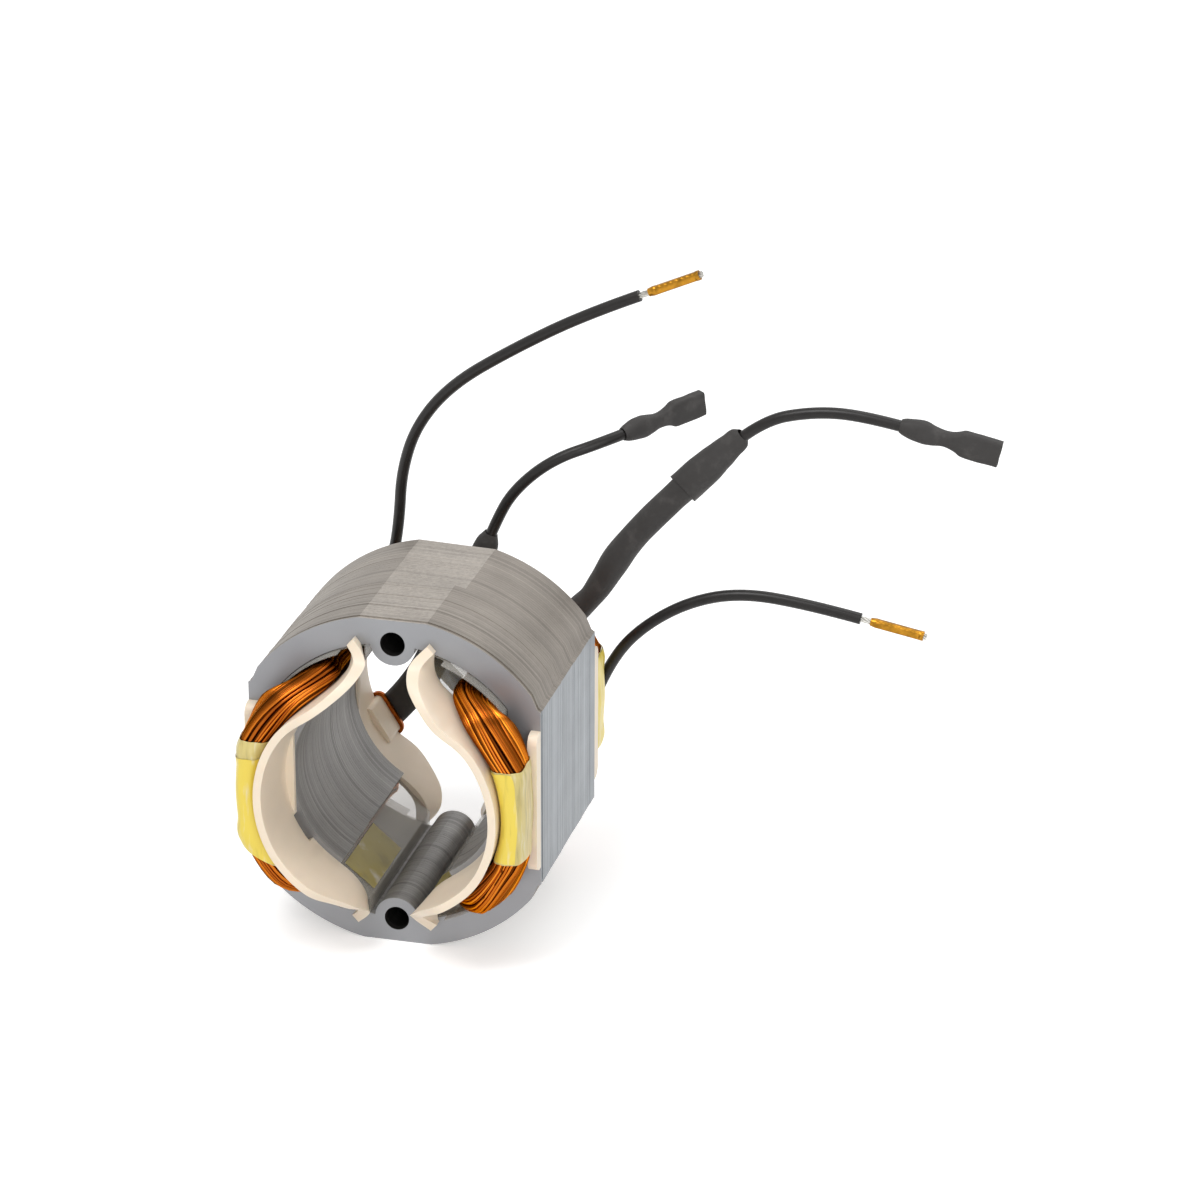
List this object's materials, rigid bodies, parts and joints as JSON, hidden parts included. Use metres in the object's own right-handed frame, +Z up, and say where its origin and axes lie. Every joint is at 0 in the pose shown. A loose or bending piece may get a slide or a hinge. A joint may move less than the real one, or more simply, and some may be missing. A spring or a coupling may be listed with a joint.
{
  "type": "universal motor field stator",
  "caption": "Wound field stator of a universal motor: laminated yoke with side flats, field coils in moulded end formers, and leads with ferrules or sleeved receptacles.",
  "frame": {"origin": "centre of the armature bore at half the stack's length, midway between the through-bolt holes", "axes": "+Y along the bore to the lead end, +Z up through the two through-bolt holes, +X to the right-hand pole"},
  "size_m": [0.1655, 0.1174, 0.1548],
  "materials": {
    "steel": "punched and pressed electrical steel",
    "film": "clear polyester film",
    "tape": "yellow polyester tape",
    "former": "moulded, satin",
    "winding": "enamelled copper wire",
    "insulation": "smooth, slightly glossy",
    "tinned": "tinned stranded copper",
    "brass": "plain",
    "sleeve": "heat-shrink tubing"
  },
  "bodies": {
    "root": {"lamination_stack": "steel", "slot_liner_upper_right": "film", "slot_liner_lower_right": "film", "slot_liner_upper_left": "film", "slot_liner_lower_left": "film", "slot_tape_lower_left": "tape", "slot_tape_lower_right": "tape", "slot_tape_upper_right": "tape", "end_former_front_right": "former", "end_former_front_left": "former", "end_former_rear_left": "former", "end_former_rear_right": "former", "field_coil_right": "winding", "field_coil_left": "winding", "end_tape_front_right": "tape", "end_tape_front_left": "tape", "end_tape_rear_left": "tape", "end_tape_rear_right": "tape", "post_turn_left": "winding", "post_turn_right": "winding", "lead_a_wire": "insulation", "lead_b_wire": "insulation", "lead_c_wire": "insulation", "lead_d_wire": "insulation", "lead_a_strands": "tinned", "lead_d_strands": "tinned", "lead_a_ferrule": "brass", "lead_d_ferrule": "brass", "lead_b_terminal_sleeve": "sleeve", "lead_c_terminal_sleeve": "sleeve", "lead_b_receptacle": "brass", "lead_c_receptacle": "brass", "lead_b_splice_sleeve": "sleeve", "lead_c_inner_sleeve": "sleeve", "lead_c_outer_sleeve": "sleeve"}
  },
  "joints": []
}
